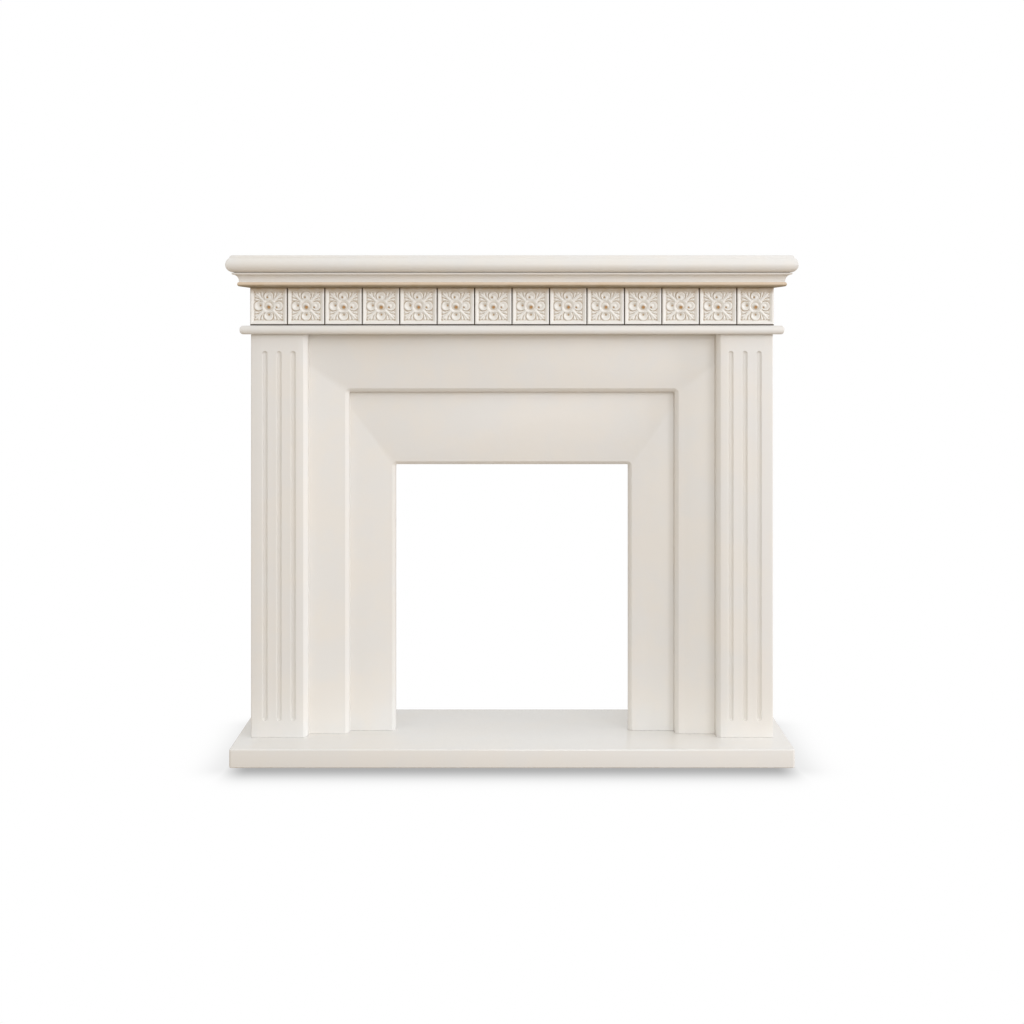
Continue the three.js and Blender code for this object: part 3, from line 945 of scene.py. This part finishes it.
def settled(height_map, spacing, width):
    """How far each point lies below the average of its surroundings."""
    reach = int(3 * width / spacing)
    weights = np.exp(-0.5 * (np.arange(-reach, reach + 1) * spacing / width)**2)
    weights /= weights.sum()
    padded = np.pad(height_map, reach, mode="edge")
    rows = np.array([np.convolve(row, weights, "valid") for row in padded])
    return np.array([np.convolve(column, weights, "valid") for column in rows.T]).T - height_map


def wash(across, up, height):
    """Amount of wash, and of the crown's painted shadow along the top edge: 0 where the stone is wiped
    pale, and 1 and more in pits.
    """
    spacing = abs(across[0, 1] - across[0, 0])
    edge = HALF - np.maximum(np.abs(across), np.abs(up))
    out = np.sqrt(across**2 + up**2)
    hollows = ramp(settled(height, spacing, HOLLOW_WIDE), *HOLLOW_DEPTHS)
    layers = [hollows * soft_step(edge, KEPT_FROM_EDGE) * soft_step(out, KEPT_FROM_MIDDLE)]
    for x, z, radius, amount in NOTCHES:
        for spot in ((x, z), (z, x)):
            layers.append(amount * hump(np.abs(across), np.abs(up), *spot, radius))
    layers.append(BOSS_SPOT_WASH * hump(across, up, *BOSS_SPOT))
    on_flower = ramp(out, *OUTLINE_FROM_MIDDLE) * ramp(edge, *OUTLINE_FROM_EDGE)
    for (turn_x, turn_z), deepest, bud, (along, aside) in PETALS:
        x = along * turn_x + aside * turn_z
        z = along * turn_z - aside * turn_x
        layers.append(PIT_SPOT_WASH * hump(across, up, x, z, PIT_SPOT_RADIUS))
        distance = petal_distance(
            across * turn_x + up * turn_z, across * turn_z - up * turn_x, deepest
        )
        layers.append(OUTLINE_WASH * ridge(distance, *OUTLINE_RING) * on_flower)
    layers.append(BOSS_RING_WASH * ridge(out, *BOSS_RING))
    layers.append(soft_step(up, CROWN_WASH_AND_SHADOW))
    return np.maximum.reduce(layers)


# %% The wash and the painted shadow at the grid's points, from an even grid
EVEN = 0.4
even = np.arange(-HALF, HALF + EVEN / 2, EVEN)
even_across, even_up = np.meshgrid(even, even)
wash_and_shade_map = wash(even_across, even_up, carving(even_across, even_up))
by_row = np.array([np.interp(lines, even, row) for row in wash_and_shade_map])
wash_and_shade_amount = np.array([np.interp(lines, even, column) for column in by_row.T]).T
print("wash from", wash_and_shade_amount.min().round(2), "to", wash_and_shade_amount.max().round(2))

# %% The tiles' finish
WIPED_PALE = (0.85, 0.82, 0.76, 1)
WASH_UMBER = (0.34, 0.24, 0.135, 1)
WASH_TAN = (0.51, 0.375, 0.22, 1)
WASH_ORANGE = (0.52, 0.25, 0.08, 1)
TURNS_ORANGE = (1.2, 1.4)
TURNS_JOINT_SHADE = (1.8, 2.4)
WIPING_SCALE = 55.0
WIPING_LEAVES = 0.45
WIPING_VARIES = 0.8
TILE_SHEEN = 0.44
washed = Finish("washed_marble", TILE_SHEEN)
wash_and_shade_kept = washed.make("ShaderNodeAttribute", {"attribute_name": "wash"}, {}, "Fac")
wiping = washed.noise(WIPING_SCALE, 3.0, 0.6)
tan = washed.blend(wiping, WASH_UMBER, WASH_TAN)
glaze = washed.blend(washed.between(wash_and_shade_kept, *TURNS_ORANGE), tan, WASH_ORANGE)
rubbed = washed.blend(wash_and_shade_kept * (WIPING_LEAVES + wiping * WIPING_VARIES), WIPED_PALE, glaze)
# Above these amounts, on the tiles' sides in the joints, the colour is the painted joint shade
washed.paint(washed.blend(washed.between(wash_and_shade_kept, *TURNS_JOINT_SHADE), rubbed, PAINTED_JOINT_SHADE))
honed(washed, TILE_SHEEN, spread=0.14)
print("tiles' finish:", washed.material.name)


# %% Fourteen tiles
MM = 0.001
GROUND_DEEP = 0.004
SHADE_IN_JOINTS = 3.0
WASH_ON_ENDS = 0.25
END_SIDE = 0.001
TILE_CREASE = 50.0
tile_nodes = sorted(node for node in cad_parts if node.startswith("rosette_tile"))
row_end = max(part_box(node)[1].x for node in tile_nodes)


def carved_tile(node):
    """A tile's closed mesh: its relief, its four sides and its back."""
    low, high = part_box(node)
    middle = (low + high) / 2
    carved_y = high.y - GROUND_DEEP - face_height * MM
    points = np.stack([middle.x + across * MM, carved_y, middle.z + up * MM], axis=-1).reshape(-1, 3)
    grid = np.arange(len(points)).reshape(across.shape)
    sides = [grid[0], grid[1:, -1], grid[-1, -2::-1], grid[-2:0:-1, 0]]
    border = np.concatenate(sides).tolist()
    back = points[border].copy()
    back[:, 1] = high.y
    corners = [grid[:-1, :-1], grid[:-1, 1:], grid[1:, 1:], grid[1:, :-1]]
    faces = np.stack(corners, axis=-1).reshape(-1, 4).tolist()
    count = len(border)
    first = len(points)
    faces += [
        (border[i], first + i, first + (i + 1) % count, border[(i + 1) % count]) for i in range(count)
    ]
    faces.append(tuple(range(first, first + count)))
    mesh = bpy.data.meshes.new(node)
    mesh.from_pydata(np.concatenate([points, back]).tolist(), [], faces)
    facing_out(mesh)
    # Sides facing the joints get the painted joint shade; the outer sides at the row's ends a little
    # wash
    side_shade_and_wash = np.where(np.abs(back[:, 0]) > row_end - END_SIDE, WASH_ON_ENDS, SHADE_IN_JOINTS)
    amount = np.concatenate([wash_and_shade_amount.reshape(-1), side_shade_and_wash]).astype(np.float32)
    mesh.attributes.new("wash", "FLOAT", "POINT").data.foreach_set("value", amount)
    piece = bpy.data.objects.new(node, mesh)
    bpy.context.scene.collection.objects.link(piece)
    return piece


for node in tile_nodes:
    dress(carved_tile(node), [node], washed, TILE_CREASE)
